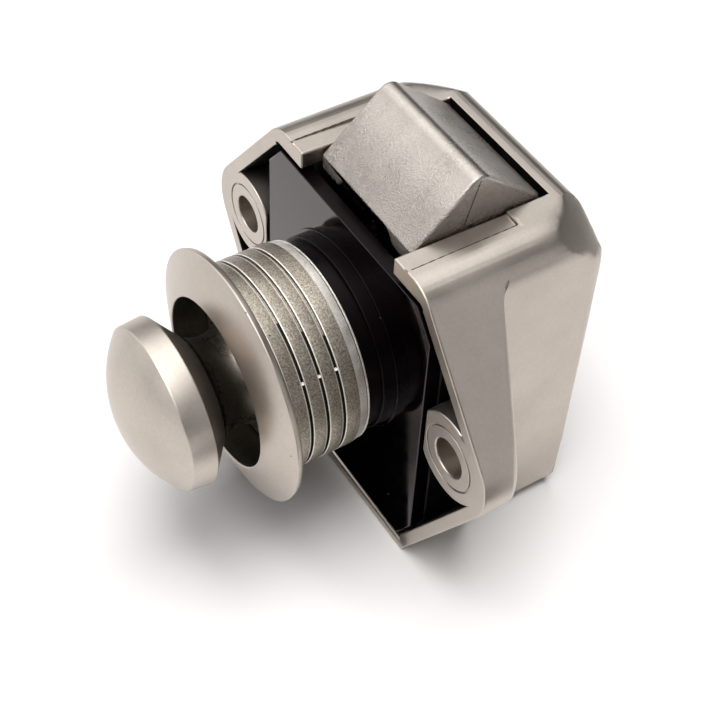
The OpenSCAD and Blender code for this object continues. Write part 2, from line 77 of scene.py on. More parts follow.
# Patterns that the materials share. A noise hardly leaves the middle of 0 to 1, so each use spreads its own span
# of it. A spot is full inside its core's share of its radius
patternLook = {"cloud": {"Detail": 4.0, "Roughness": 0.6}, "grain": {"Detail": 3.0, "Roughness": 0.65},
               "wave": {"Detail": 2.0}, "flow": {"Detail": 3.0, "Roughness": 0.55},
               "toneSpan": (0.32, 0.68), "speckleSpan": (0.35, 0.65), "roughSpan": (0.3, 0.7),
               "pitCore": 0.4, "dustCore": 0.3}


# Mask of round spots, 1 in their middles: one spot of the size in each cell of the spacing, both in millimetres
def spotMask(tree, place, spacing, size, core):
    cells = addNode(tree, "ShaderNodeTexVoronoi", None,
                    {"Vector": place, "Scale": 1 / (spacing * mm), "Randomness": 1.0})
    return addNode(tree, "ShaderNodeMapRange", {"interpolation_type": "SMOOTHSTEP"},
                   {"Value": cells.outputs["Distance"], "From Min": size / spacing,
                    "From Max": core * size / spacing, "To Min": 0.0, "To Max": 1.0}).outputs["Result"]


# Roughness = the look's own, more or less its spread, from one end of the noise's span to the other
def roughFrom(tree, noise, look):
    low, high = patternLook["roughSpan"]
    return addNode(tree, "ShaderNodeMapRange", None,
                   {"Value": noise.outputs["Fac"], "From Min": low, "From Max": high,
                    "To Min": look["rough"] - look["roughSpread"],
                    "To Max": look["rough"] + look["roughSpread"]}).outputs["Result"]


# Plated metal: cloudy tone, fine grain, sparse pits. Relief = (grain + long waves - pits) times the grain's depth.
# Where a look has a fade, the relief's share goes from 1 at one height above the axis to the least at another
def platedMetal(name, look):
    material, tree = newMaterial(name)
    spot = addNode(tree, "ShaderNodeTexCoord").outputs["Object"]
    place = addNode(tree, "ShaderNodeVectorMath", {"operation": "MULTIPLY"},
                    {0: spot, 1: look.get("stretch", (1.0, 1.0, 1.0))}).outputs["Vector"]
    cloud, grain, wave = [addNode(tree, "ShaderNodeTexNoise", None,
                                  {"Vector": place, "Scale": 1 / (look[kind] * mm), **patternLook[kind]})
                          for kind in ("cloud", "grain", "wave")]
    pits = spotMask(tree, place, look["pitSpacing"], look["pitSize"], patternLook["pitCore"])
    tone = addNode(tree, "ShaderNodeValToRGB", None, {"Fac": cloud.outputs["Fac"]})
    for stop, at, code in zip(tone.color_ramp.elements, patternLook["toneSpan"], (look["dark"], look["light"])):
        stop.position, stop.color = at, linearColour(code)
    low, high = patternLook["speckleSpan"]
    speckle = addNode(tree, "ShaderNodeMapRange", None,
                      {"Value": grain.outputs["Fac"], "From Min": low, "From Max": high,
                       "To Min": 1 - look["speckle"], "To Max": 1 + look["speckle"]})
    flecked = addNode(tree, "ShaderNodeVectorMath", {"operation": "SCALE"},
                      {0: tone.outputs["Color"], "Scale": speckle.outputs["Result"]})
    pitted = addNode(tree, "ShaderNodeMix", {"data_type": "RGBA"},
                     {"Factor": pits, 6: flecked.outputs["Vector"], 7: linearColour(look["pitColour"])})
    height = addNode(tree, "ShaderNodeMath", {"operation": "MULTIPLY_ADD"},
                     {0: wave.outputs["Fac"], 1: look["waveDepth"] / look["grainDepth"], 2: grain.outputs["Fac"]})
    relief = addNode(tree, "ShaderNodeMath", {"operation": "SUBTRACT"},
                     {0: height.outputs["Value"], 1: pits}).outputs["Value"]
    if "fadeFrom" in look:
        level = addNode(tree, "ShaderNodeSeparateXYZ", None, {"Vector": spot})
        share = addNode(tree, "ShaderNodeMapRange", {"interpolation_type": "SMOOTHSTEP"},
                        {"Value": level.outputs["Z"], "From Min": look["fadeFrom"] * mm,
                         "From Max": look["fadeTo"] * mm, "To Min": 1.0, "To Max": look["fadeLeast"]})
        relief = addNode(tree, "ShaderNodeMath", {"operation": "MULTIPLY"},
                         {0: relief, 1: share.outputs["Result"]}).outputs["Value"]
    bump = addNode(tree, "ShaderNodeBump", None,
                   {"Strength": 1.0, "Distance": look["grainDepth"] * mm, "Height": relief})
    shader = addNode(tree, "ShaderNodeBsdfPrincipled", None,
                     {"Base Color": pitted.outputs[2], "Metallic": 1.0,
                      "Roughness": roughFrom(tree, cloud, look), "Normal": bump.outputs["Normal"]})
    addNode(tree, "ShaderNodeOutputMaterial", None, {"Surface": shader.outputs["BSDF"]})
    return material


# Moulded plastic: faint flow waves in its relief and gloss, and dust specks that lie on it
def mouldedPlastic(name, look):
    material, tree = newMaterial(name)
    place = addNode(tree, "ShaderNodeTexCoord").outputs["Object"]
    flow = addNode(tree, "ShaderNodeTexNoise", None,
                   {"Vector": place, "Scale": 1 / (look["flow"] * mm), **patternLook["flow"]})
    dust = spotMask(tree, place, look["dustSpacing"], look["dustSize"], patternLook["dustCore"])
    colour = addNode(tree, "ShaderNodeMix", {"data_type": "RGBA"},
                     {"Factor": dust, 6: linearColour(look["colour"]), 7: linearColour(look["dustColour"])})
    bump = addNode(tree, "ShaderNodeBump", None,
                   {"Strength": 1.0, "Distance": look["flowDepth"] * mm, "Height": flow.outputs["Fac"]})
    shader = addNode(tree, "ShaderNodeBsdfPrincipled", None,
                     {"Base Color": colour.outputs[2], "Roughness": roughFrom(tree, flow, look),
                      "IOR": look["ior"], "Specular Tint": linearColour(look["tint"]),
                      "Normal": bump.outputs["Normal"]})
    addNode(tree, "ShaderNodeOutputMaterial", None, {"Surface": shader.outputs["BSDF"]})
    return material


# Satin nickel on a zinc die casting: warm grey, soft broad reflections, tiny casting pits
satinNickel = platedMetal("satinNickelPlate", {
    "light": "#c0b7ae", "dark": "#b3aaa1", "cloud": 9.0, "grain": 0.35, "wave": 3.0, "waveDepth": 0.004,
    "grainDepth": 0.006, "speckle": 0.04, "rough": 0.34, "roughSpread": 0.04,
    "pitSpacing": 4.2, "pitSize": 0.16, "pitColour": "#57504b"})
# The same plate over a blasted band: fine grains that catch the light one by one
blastedNickel = platedMetal("blastedNickelPlate", {
    "light": "#a29a8e", "dark": "#8b8377", "cloud": 5.0, "grain": 0.19, "wave": 2.0, "waveDepth": 0.004,
    "grainDepth": 0.05, "speckle": 0.5, "rough": 0.36, "roughSpread": 0.04,
    "pitSpacing": 2.6, "pitSize": 0.12, "pitColour": "#4a443f"})
# Nickel behind the knob's head: buffed, and darker as painted shade, so that the cone sinks into shade
coneWithPaintedShade = platedMetal("buffedNickelConePaintedShade", {
    "light": "#7f786e", "dark": "#6d665c", "cloud": 3.0, "grain": 0.3, "wave": 2.0, "waveDepth": 0.003,
    "grainDepth": 0.008, "speckle": 0.06, "rough": 0.22, "roughSpread": 0.03,
    "pitSpacing": 5.0, "pitSize": 0.1, "pitColour": "#2f2a26"})
# Nickel of the neck, buffed: darker than the satin as painted shade in the hollow, a shade lighter than the cone to
# hold a highlight
neckWithPaintedShade = platedMetal("buffedNickelNeckPaintedShade", {
    "light": "#aaa196", "dark": "#9a9187", "cloud": 3.0, "grain": 0.25, "wave": 2.0, "waveDepth": 0.003,
    "grainDepth": 0.02, "speckle": 0.12, "rough": 0.28, "roughSpread": 0.03,
    "pitSpacing": 5.0, "pitSize": 0.1, "pitColour": "#2f2a26"})
# Painted shade inside the rosette's bore, in its notch and on the grooves' lower floors: dark and faintly green
boreShadeSkin = platedMetal("paintedShadeInBoreAndGrooves", {
    "light": "#403d34", "dark": "#2f2c25", "cloud": 4.0, "grain": 0.3, "wave": 2.0, "waveDepth": 0.003,
    "grainDepth": 0.02, "speckle": 0.15, "rough": 0.45, "roughSpread": 0.05,
    "pitSpacing": 5.0, "pitSize": 0.1, "pitColour": "#171510"})
# Painted highlight on the grooves' lips, the collar's end and the nubs: a light, wide sheen that shows as a pale line
# from all around
lipPaintedHighlight = platedMetal("nickelLipPaintedHighlight", {
    "light": "#f4f0ea", "dark": "#e2dcd4", "cloud": 2.0, "grain": 0.2, "wave": 1.0, "waveDepth": 0.002,
    "grainDepth": 0.01, "speckle": 0.12, "rough": 0.55, "roughSpread": 0.05,
    "pitSpacing": 6.0, "pitSize": 0.1, "pitColour": "#57504b"})
# Nickel over a rough cast skin: fine ripples that sparkle low on the bolt and fade out towards its ridge
roughCastNickel = platedMetal("roughCastNickel", {
    "light": "#b4ada6", "dark": "#a69f98", "cloud": 6.0, "grain": 0.22, "wave": 1.2, "waveDepth": 0.03,
    "grainDepth": 0.23, "speckle": 0.1, "rough": 0.28, "roughSpread": 0.04,
    "pitSpacing": 7.0, "pitSize": 0.2, "pitColour": "#6b625c", "stretch": (1.7, 0.75, 0.75),
    "fadeFrom": 21.0, "fadeTo": 27.0, "fadeLeast": 0.12})
# Painted shade inside the ears' pockets, in the slot behind the bolt and on the box walls' ends, so that the pockets
# read as black
paintedShadeInHollows = platedMetal("paintedShadeInHollows", {
    "light": "#302c2a", "dark": "#1e1b1a", "cloud": 3.0, "grain": 0.4, "wave": 1.5, "waveDepth": 0.01,
    "grainDepth": 0.03, "speckle": 0.1, "rough": 0.55, "roughSpread": 0.05,
    "pitSpacing": 5.0, "pitSize": 0.15, "pitColour": "#0f0d0d"})
# Shade in the fine lines of the casting
lineShade = platedMetal("shadeInCastingLine", {
    "light": "#4a4441", "dark": "#2c2826", "cloud": 1.0, "grain": 0.2, "wave": 1.0, "waveDepth": 0.002,
    "grainDepth": 0.01, "speckle": 0.2, "rough": 0.6, "roughSpread": 0.05,
    "pitSpacing": 6.0, "pitSize": 0.1, "pitColour": "#100e0d"})
# Drawn and turned steel of the works
turnedSteel = platedMetal("turnedSteel", {
    "light": "#c4c4c6", "dark": "#b2b2b5", "cloud": 3.0, "grain": 0.2, "wave": 1.0, "waveDepth": 0.002,
    "grainDepth": 0.003, "speckle": 0.04, "rough": 0.3, "roughSpread": 0.05,
    "pitSpacing": 6.0, "pitSize": 0.1, "pitColour": "#77777a"})
# Oil-tempered spring wire: darker, smooth, a faint blue-grey
springWire = platedMetal("springWire", {
    "light": "#9b9ca0", "dark": "#85868b", "cloud": 2.0, "grain": 0.15, "wave": 0.8, "waveDepth": 0.001,
    "grainDepth": 0.002, "speckle": 0.03, "rough": 0.25, "roughSpread": 0.04,
    "pitSpacing": 6.0, "pitSize": 0.1, "pitColour": "#5a5b60"})
# Turned brass of the bush: warm yellow, fine turning
turnedBrass = platedMetal("turnedBrass", {
    "light": "#d9b566", "dark": "#c49d4e", "cloud": 2.5, "grain": 0.2, "wave": 1.0, "waveDepth": 0.002,
    "grainDepth": 0.003, "speckle": 0.04, "rough": 0.26, "roughSpread": 0.04,
    "pitSpacing": 6.0, "pitSize": 0.1, "pitColour": "#7d6230"})
# Glossy black ABS moulding: nearly black, with a clear, faintly purple mirror of what is around it
glossyBlack = mouldedPlastic("glossyBlackAbs", {
    "colour": "#040203", "rough": 0.08, "roughSpread": 0.03, "ior": 1.5, "tint": "#ffdfe6",
    "flow": 2.5, "flowDepth": 0.003, "dustSpacing": 3.4, "dustSize": 0.16, "dustColour": "#8d8583"})
# Its sides and boss came off worn tool walls: the same black with hardly any mirror
deepBlack = mouldedPlastic("wornToolBlackAbs", {
    "colour": "#050304", "rough": 0.3, "roughSpread": 0.05, "ior": 1.2, "tint": "#ffe6ea",
    "flow": 2.5, "flowDepth": 0.003, "dustSpacing": 4.4, "dustSize": 0.12, "dustColour": "#4d4745"})
# The chassis moulding, same plastic off a duller tool
dullBlack = mouldedPlastic("dullBlackAbs", {
    "colour": "#0d0c0d", "rough": 0.42, "roughSpread": 0.05, "ior": 1.5, "tint": "#ffffff",
    "flow": 1.2, "flowDepth": 0.006, "dustSpacing": 4.0, "dustSize": 0.14, "dustColour": "#5c5856"})
print("materials made")


# Mesh from whole arrays of points and quads, with its doubles merged and its faces turned outwards
def newPiece(name, points, quads, materials, faceMaterials=None, sharp=32.0, merge=1e-7):
    mesh = bpy.data.meshes.new(name)
    mesh.from_pydata(points.tolist(), [], quads.tolist())
    for material in materials:
        mesh.materials.append(material)
    if faceMaterials is not None:
        mesh.polygons.foreach_set("material_index", faceMaterials.astype(np.int32))
    work = bmesh.new()
    work.from_mesh(mesh)
    bmesh.ops.remove_doubles(work, verts=work.verts, dist=merge)
    bmesh.ops.recalc_face_normals(work, faces=work.faces)
    work.to_mesh(mesh)
    work.free()
    mesh.polygons.foreach_set("use_smooth", np.ones(len(mesh.polygons), bool))
    mesh.set_sharp_from_angle(angle=math.radians(sharp))
    piece = bpy.data.objects.new(name, mesh)
    bpy.context.scene.collection.objects.link(piece)
    return piece


# Profile with rounded corners: each corner with a radius becomes an arc that touches both of its sides
def roundedProfile(corners, steps=7):
    places = np.array([c[:2] for c in corners], float)
    line = []
    for i, corner in enumerate(corners):
        radius = corner[2] if len(corner) > 2 else 0
        here = places[i]
        if radius == 0:
            line.append(here[None])
            continue
        a, b = places[i - 1] - here, places[(i + 1) % len(places)] - here
        a, b = a / np.linalg.norm(a), b / np.linalg.norm(b)
        half = math.acos(float(np.clip(a @ b, -1, 1))) / 2
        centre = here + (a + b) / np.linalg.norm(a + b) * radius / math.sin(half)
        start, end = here + a * radius / math.tan(half) - centre, here + b * radius / math.tan(half) - centre
        turn = math.atan2(start[0] * end[1] - start[1] * end[0], start @ end)
        angles = math.atan2(start[1], start[0]) + turn * np.linspace(0, 1, steps)
        line.append(centre + radius * np.stack([np.cos(angles), np.sin(angles)], 1))
    return np.concatenate(line)


# Turned piece about the knob's axis: the point at angle t of the profile point (r, out) is
# (r cos t, -out, r sin t), and lift(t, r, out) may add to r. The profile is a closed loop unless it ends on the
# axis. faceMaterials has a material's index for each row, or for each row and angle
def turned(name, profile, segments, materials, faceMaterials=None, lift=None, closed=True):
    angle = np.linspace(0, 2 * math.pi, segments, endpoint=False)
    radius = np.repeat(profile[:, :1], segments, axis=1)
    out = np.repeat(profile[:, 1:2], segments, axis=1)
    if lift is not None:
        radius = radius + lift(angle[None, :], radius, out)
    points = np.stack([radius * np.cos(angle), -out, radius * np.sin(angle)], -1).reshape(-1, 3) * mm
    rows = len(profile)
    i = np.arange(rows if closed else rows - 1)[:, None]
    j = np.arange(segments)[None, :]
    nextRow, nextColumn = (i + 1) % rows, (j + 1) % segments
    quads = np.stack([i * segments + j, i * segments + nextColumn,
                      nextRow * segments + nextColumn, nextRow * segments + j], -1).reshape(-1, 4)
    chosen = None if faceMaterials is None else np.broadcast_to(faceMaterials[:len(i)], (len(i), segments)).ravel()
    return newPiece(name, points, quads, materials, chosen)


# Knob: shallow dome, straight rim band, cone and round neck into a skirt that slides in the rosette. Radii, and
# heights out of the door; "under" is a radius that the head's underside runs to and how far it has then dropped
knobLook = {"headBack": 22.5, "band": 2.9, "dome": 4.1, "domeRadius": 10.25, "headRadius": 10.5,
            "under": (8.0, 1.96), "neck": 5.75, "curve": 4.0, "waist": 16.8, "coneAngle": 50, "skirt": 10.3,
            "skirtBack": 8.4, "cup": 8.8, "cupFloor": 11.4, "spindle": 3.0, "socket": 18.9,
            "rimRound": 0.3, "headRound": 0.22, "frontRound": 0.2, "skirtRound": 0.15, "domeEnd": 0.985,
            "domeRows": 26, "neckRows": 40, "segments": 224,
            "buffedShadeAbove": 12.85, "buffedShadeUnder": 0.1, "coneShadeAbove": 19.4}


# Profile from the dome's middle to the socket: an arc of the ball that has the dome's height and radius, the rim,
# an arc for the neck, and the skirt with the cup behind it
def knobProfile(k):
    ball = (k["domeRadius"] ** 2 + k["dome"] ** 2) / (2 * k["dome"])
    domeHalf = math.asin(k["domeRadius"] / ball)
    apex = k["headBack"] + k["band"] + k["dome"]
    a = np.linspace(0, domeHalf * k["domeEnd"], k["domeRows"])
    dome = np.stack([ball * np.sin(a), apex - ball + ball * np.cos(a)], 1)
    rim = roundedProfile([tuple(dome[-1]), (k["domeRadius"], k["headBack"] + k["band"], k["rimRound"]),
                          (k["headRadius"], k["headBack"], k["headRound"]),
                          (k["under"][0], k["headBack"] - k["under"][1])])[1:-1]
    b = np.radians(np.linspace(k["coneAngle"], -90, k["neckRows"]))
    neck = np.stack([k["neck"] + k["curve"] * (1 - np.cos(b)), k["waist"] + k["curve"] * np.sin(b)], 1)
    front = k["waist"] - k["curve"]
    skirt = roundedProfile([tuple(neck[-1]), (k["skirt"], front, k["frontRound"]),
                            (k["skirt"], k["skirtBack"], k["skirtRound"]),
                            (k["cup"], k["skirtBack"], k["skirtRound"]), (k["cup"], k["cupFloor"]),
                            (k["spindle"], k["cupFloor"]), (k["spindle"], k["socket"]), (0.0, k["socket"])])[1:]
    return np.concatenate([dome, rim, neck, skirt])


# Finish of each row: satin outside, buffed with painted shade between the head and the skirt, and deeper painted
# shade on the cone
def knobFinishAndShade(line, k):
    radius, height = line.T
    onNeck = (height < k["headBack"] - k["buffedShadeUnder"]) & (height > k["buffedShadeAbove"]) & (radius < k["skirt"])
    return np.select([onNeck & (height > k["coneShadeAbove"]), onNeck], [2, 1], 0)[:, None]


knobLine = knobProfile(knobLook)
knob = turned("pushKnob", knobLine, knobLook["segments"], [satinNickel, neckWithPaintedShade, coneWithPaintedShade],
              knobFinishAndShade(knobLine, knobLook), closed=False)
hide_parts("knob")
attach(knob, "button")
print("knob: %d faces" % len(knob.data.polygons))

# Rosette: conical flange, four grooves in the collar, blasted bands and a small cone at the end. "foot" has the
# corners of the notched foot: how far each lies inside the cone's end and above the collar's end, and its round.
# "paintedShadeFrom" is the angle under which each groove's floor has painted shade. The last row says where a finish
# begins or ends
rosetteLook = {"bore": 10.7, "boreRound": 0.18, "flange": 16.0, "rim": 15.4, "rimRound": 0.16, "cone": 2.0,
               "thick": 0.8, "backIn": 0.25, "backRound": 0.2, "collar": 13.0, "end": 3.9,
               "first": 13.9, "pitch": 2.15, "width": 0.38, "depth": 0.4, "lip": 0.13, "lipIn": 0.03,
               "lipRound": 0.02, "floorRound": 0.03, "taper": 1.5, "taperIn": 0.2, "taperRound": 0.3,
               "foot": [(0, 0.4, 0.02), (0.15, 0.36, 0.02), (0.15, 0.26, 0.02), (0, 0.22, 0.02),
                        (0.02, 0.06, 0.04), (0.15, 0, 0.03)],
               "spigot": 11.95, "seat": 6.1, "arcRows": 4, "segments": 288,
               "nubAngle": 33.6, "nubHalf": 0.9, "nubIn": 0.05, "nubFrom": 6.5, "nubTo": 14.3, "nubBright": 0.7,
               "skin": 0.6, "blastedRadius": 13.4, "blastedTo": 14.55, "paintedShadeFrom": [82, 67, 58, 52],
               "stripUnder": 0.1, "boreUnder": 0.25, "boreShadeSkin": 0.02, "notchIn": 0.08, "notchAbove": 0.2}


# Upper edge of each groove
def grooveTops(k):
    return [k["first"] + k["width"] / 2 - i * k["pitch"] for i in range(4)]


# Profile as a closed loop of rounded corners: bore, flange, collar with its grooves, foot, and the hollow behind
def rosetteProfile(k):
    back = k["rim"] - k["thick"]
    bottom, edge = k["collar"] - k["depth"], k["collar"] - k["lipIn"]
    corners = [(k["bore"], k["rim"] + k["cone"], k["boreRound"]), (k["flange"], k["rim"], k["rimRound"]),
               (k["flange"] - k["backIn"], back, k["backRound"]), (k["collar"], back)]
    for top in grooveTops(k):
        foot = top - k["width"]
        corners += [(k["collar"], top + k["lip"]), (edge, top, k["lipRound"]),
                    (bottom, top - k["floorRound"], k["floorRound"]),
                    (bottom, foot + k["floorRound"], k["floorRound"]),
                    (edge, foot, k["lipRound"]), (k["collar"], foot - k["lip"])]
    side, end = k["collar"] - k["taperIn"], k["end"]
    corners += [(k["collar"], end + k["taper"], k["taperRound"])]
    corners += [(side - inside, end + above, around) for inside, above, around in k["foot"]]
    corners += [(k["spigot"], end), (k["spigot"], k["seat"]), (k["bore"], k["seat"])]
    return roundedProfile(corners, k["arcRows"])


# The parting seam's nubs: a narrow bell in the angle lifts the floor of each groove up to the band
def seamNubs(angle, radius, out):
    k = rosetteLook
    away = (angle - math.radians(k["nubAngle"]) + math.pi) % (2 * math.pi) - math.pi
    bell = np.exp(-(away / math.radians(k["nubHalf"])) ** 2)
    inGroove = (radius > k["spigot"] + 0.3) & (radius < k["collar"]) & (out < k["nubTo"]) & (out > k["nubFrom"])
    return bell * np.where(inGroove, k["collar"] - k["nubIn"] - radius, 0)


# Finish of each face, by row and angle: 0 satin, 1 blasted bands, 2 painted highlight on the lips beside the grooves
# and at the collar's end, 3 painted shade in the bore and notch. The grooves' floors have painted shade from an angle
# down, are blasted above it, and carry the painted highlight on the nubs
def rosetteFinishAndPaintedLight(line, k):
    radial, out = ((line + np.roll(line, -1, axis=0)) / 2).T
    angle = (np.arange(k["segments"]) * 360 / k["segments"] + 180) % 360 - 180
    onCollar = (radial > k["collar"] - k["skin"]) & (radial < k["blastedRadius"]) & (out < k["blastedTo"])
    endStrip = onCollar & (out < k["end"] + k["taper"] - k["stripUnder"])
    inBore = (radial < k["bore"] + k["boreShadeSkin"]) & (out < k["rim"] + k["cone"] - k["boreUnder"])
    inNotch = (endStrip & (radial < k["collar"] - k["taperIn"] - k["notchIn"])
               & (out > k["end"] + k["notchAbove"]))
    rows = np.select([inBore | inNotch, endStrip, onCollar], [3, 2, 1], 0)
    finish = np.repeat(rows[:, None], k["segments"], axis=1)
    onNub = np.abs(angle - k["nubAngle"]) < k["nubBright"] * k["nubHalf"]
    for top, paintedShadeFrom in zip(grooveTops(k), k["paintedShadeFrom"]):
        nearGroove = onCollar & (out < top + k["lip"]) & (out > top - k["width"] - k["lip"])
        inGroove = nearGroove & (radial < k["collar"] - 2 * k["lipIn"])
        # Painted highlight on the lips beside each groove
        finish[nearGroove] = 2
        # Painted shade on each groove's floor from an angle down, painted highlight on its nub, blasted elsewhere
        finish[inGroove] = np.select([onNub, angle < paintedShadeFrom], [2, 3], 1)
    return finish


rosetteLine = rosetteProfile(rosetteLook)
rosette = turned("groovedRosette", rosetteLine, rosetteLook["segments"],
                 [satinNickel, blastedNickel, lipPaintedHighlight, boreShadeSkin],
                 rosetteFinishAndPaintedLight(rosetteLine, rosetteLook), seamNubs)
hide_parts("rosette")
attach(rosette, "lock")
print("rosette: %d faces" % len(rosette.data.polygons))


# One value or vector for each item of a mesh, as an array
def column(items, key, kind, width=1):
    values = np.empty(len(items) * width, kind)
    items.foreach_get(key, values)
    return values.reshape(-1, width) if width > 1 else values


# Copy of a CAD node for a cast or moulded piece, with its corners merged and its flats joined. An outward edge
# that turns more than the least angle gets a round: its width is the smaller of widthAt and a share of the
# narrower face beside it, where a face is as wide as its area over the edge's length
castLook = {"merge": 2e-6, "flatAngle": 0.1, "leastWidth": 0.02}  # metres, degrees, millimetres


def castCopy(nodeName, pieceName, materials, look, widthAt, materialAt=None, shape=None):
    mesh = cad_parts[nodeName].data.copy()
    for attribute in ("custom_normal", "sharp_edge", "sharp_face"):
        if attribute in mesh.attributes:
            mesh.attributes.remove(mesh.attributes[attribute])
    work = bmesh.new()
    work.from_mesh(mesh)
    bmesh.ops.remove_doubles(work, verts=work.verts, dist=castLook["merge"])
    bmesh.ops.dissolve_limit(work, angle_limit=math.radians(castLook["flatAngle"]),
                             verts=work.verts, edges=work.edges)
    if shape is not None:
        shape(work)
    work.to_mesh(mesh)
    work.free()

    place = column(mesh.vertices, "co", np.float64, 3) / mm
    corner = column(mesh.loops, "vertex_index", np.int32)
    ofEdge = column(mesh.loops, "edge_index", np.int32)
    first = column(mesh.polygons, "loop_start", np.int32)
    count = column(mesh.polygons, "loop_total", np.int32)
    normal = column(mesh.polygons, "normal", np.float64, 3)
    centre = column(mesh.polygons, "center", np.float64, 3) / mm
    area = column(mesh.polygons, "area", np.float64) / mm ** 2
    owner = np.repeat(np.arange(len(first)), count)
    following = np.arange(len(corner)) + 1
    following[first + count - 1] = first
    side = place[corner[following]] - place[corner]
    inward = np.cross(normal[owner], side)
    one, two = np.argsort(ofEdge, kind="stable").reshape(-1, 2).T
    normalOne, normalTwo = normal[owner[one]], normal[owner[two]]
    turn = np.degrees(np.arccos(np.clip((normalOne * normalTwo).sum(1), -1, 1)))
    outward = (inward[two] * normalOne).sum(1) < 0
    length = np.maximum(np.linalg.norm(side[one], axis=1), 1e-6)
    room = np.minimum(area[owner[one]], area[owner[two]]) / length
    middle = (place[corner[one]] + place[corner[following[one]]]) / 2
    width = np.minimum(widthAt(middle, normalOne, normalTwo), look["share"] * room)
    width = np.where(outward & (turn > look["leastAngle"]) & (width > castLook["leastWidth"]), width, 0)
    print("%s: %d faces, %d of %d edges rounded" % (pieceName, len(first), (width > 0).sum(), len(width)))

    weight = mesh.attributes.new("bevel_weight_edge", "FLOAT", "EDGE")
    weight.data.foreach_set("value", (width / look["widest"]).astype(np.float32))
    mesh.materials.clear()
    for material in materials:
        mesh.materials.append(material)
    chosen = np.zeros(len(first), np.int32) if materialAt is None else materialAt(centre, normal)
    mesh.polygons.foreach_set("material_index", chosen.astype(np.int32))
    mesh.polygons.foreach_set("use_smooth", np.ones(len(first), bool))
    sharp = mesh.attributes.new("sharp_edge", "BOOLEAN", "EDGE")
    blended = look["smoothAt"](middle) if "smoothAt" in look else np.zeros(len(turn), bool)
    sharp.data.foreach_set("value", (turn > look["leastAngle"]) & (width == 0) & ~blended)
    piece = bpy.data.objects.new(pieceName, mesh)
    bpy.context.scene.collection.objects.link(piece)
    soft = piece.modifiers.new("edges", "BEVEL")
    soft.width, soft.segments, soft.limit_method = look["widest"] * mm, look["steps"], "WEIGHT"
    soft.use_clamp_overlap = False
    soft.harden_normals = True
    weights = piece.modifiers.new("flats", "WEIGHTED_NORMAL")
    weights.keep_sharp = True
    return piece


# One width for the rounds of a whole piece
def evenWidth(look):
    return lambda middle, normalOne, normalTwo: np.full(len(middle), look["edge"])


# Casing: small rounds at every rim, wide ones where the ears' backs meet their outer walls, narrowing to nothing
# at the box, and blended corners at the back of the top. Sizes as in the CAD; "corners" are the box's corners that
# the ear's slanted walls start from, with the side of the ear's end that each wall touches
casingLook = {"rim": 0.22, "earBack": 0.8, "earShare": 0.3, "widest": 0.8, "share": 0.3, "leastAngle": 24,
              "steps": 4, "boxHalf": 17.6, "boxWall": 2.0, "caseBack": 24.65, "backWall": 2.4, "top": 20.3,
              "topWall": 2.4, "wall": 1.8, "bossRadius": 5.95, "holeAt": 23.0, "end": (23.1, -0.5),
              "endRadius": 7.1, "corners": [((15.5, 20.3), -1), ((16.0, -26.9), 1)], "rimDepth": 3,
              "pocket": (0.1, 8.2), "slack": 0.1, "pocketIn": 0.3, "slotFrom": 15, "cheekEnd": 2, "cheekIn": 0.2,
              "facing": 0.9, "backFacing": 0.6}
# Blended corners: where the blend begins and where it is full, in millimetres beside, behind and above the middle,
# the grid's step, and how far a point moves towards its neighbours' mean and back
cornerLook = {"from": (10.6, 14.5, 4.0), "full": (13.0, 18.5, 10.0), "step": 0.8, "grow": 0.5, "shrink": -0.34,
              "rounds": 48, "skin": 0.02}


# Share of the blend at each place: a smooth rise from 0 to 1 along each axis, and the three multiplied
def cornerShare(place):
    start, full = np.array(cornerLook["from"]), np.array(cornerLook["full"])
    reach = np.column_stack([np.abs(place[:, 0]), place[:, 1:]])
    t = np.clip((reach - start) / (full - start), 0, 1)
    return (t * t * (3 - 2 * t)).prod(1)


# Cuts the faces in a list, with their edges and points, along a plane through a point
def cutFaces(work, faces, point, normal):
    parts = set(faces)
    for face in faces:
        parts.update(face.edges)
        parts.update(face.verts)
    bmesh.ops.bisect_plane(work, geom=list(parts), dist=1e-6, plane_co=point, plane_no=normal)


# Blended corners: the outer faces there are cut into a grid, and its points move to and from their neighbours'
# mean by turns, which takes the creases out and keeps the size
def blendCorners(work):
    outer = [casingLook[key] for key in ("boxHalf", "caseBack", "top")]
    walls = [casingLook[key] for key in ("boxWall", "backWall", "topWall")]
    inner = [reach - wall + cornerLook["skin"] for reach, wall in zip(outer, walls)]

    def inCorner(face):
        middle = face.calc_center_median()
        if not (abs(middle.x) > inner[0] * mm or middle.y > inner[1] * mm or middle.z > inner[2] * mm):
            return False
        reach = (max(abs(v.co.x) for v in face.verts), max(v.co.y for v in face.verts),
                 max(v.co.z for v in face.verts))
        return all(far > least * mm for far, least in zip(reach, cornerLook["from"]))

    for axis, way in ((0, (-1, 0, 0)), (0, (1, 0, 0)), (1, (0, 1, 0)), (2, (0, 0, 1))):
        for level in np.arange(cornerLook["from"][axis], outer[axis], cornerLook["step"]):
            cutFaces(work, [f for f in work.faces if inCorner(f)], Vector(way) * float(level) * mm, Vector(way))
    work.verts.index_update()
    place = np.array([v.co for v in work.verts]) / mm
    ends = np.array([(e.verts[0].index, e.verts[1].index) for e in work.edges])
    ends = np.concatenate([ends, ends[:, ::-1]])
    near = np.bincount(ends[:, 0], minlength=len(place))[:, None]
    isOuter = (np.abs(place) > np.array(inner)).any(1)
    share = (cornerShare(place) * isOuter)[:, None]
    for amount in (cornerLook["grow"], cornerLook["shrink"]) * cornerLook["rounds"]:
        total = np.stack([np.bincount(ends[:, 0], place[ends[:, 1], axis], len(place)) for axis in range(3)], 1)
        place = place + amount * share * (total / near - place)
    for v, point in zip(work.verts, place):
        v.co = Vector(point.tolist()) * mm


casingLook["smoothAt"] = lambda middle: cornerShare(middle) > 0


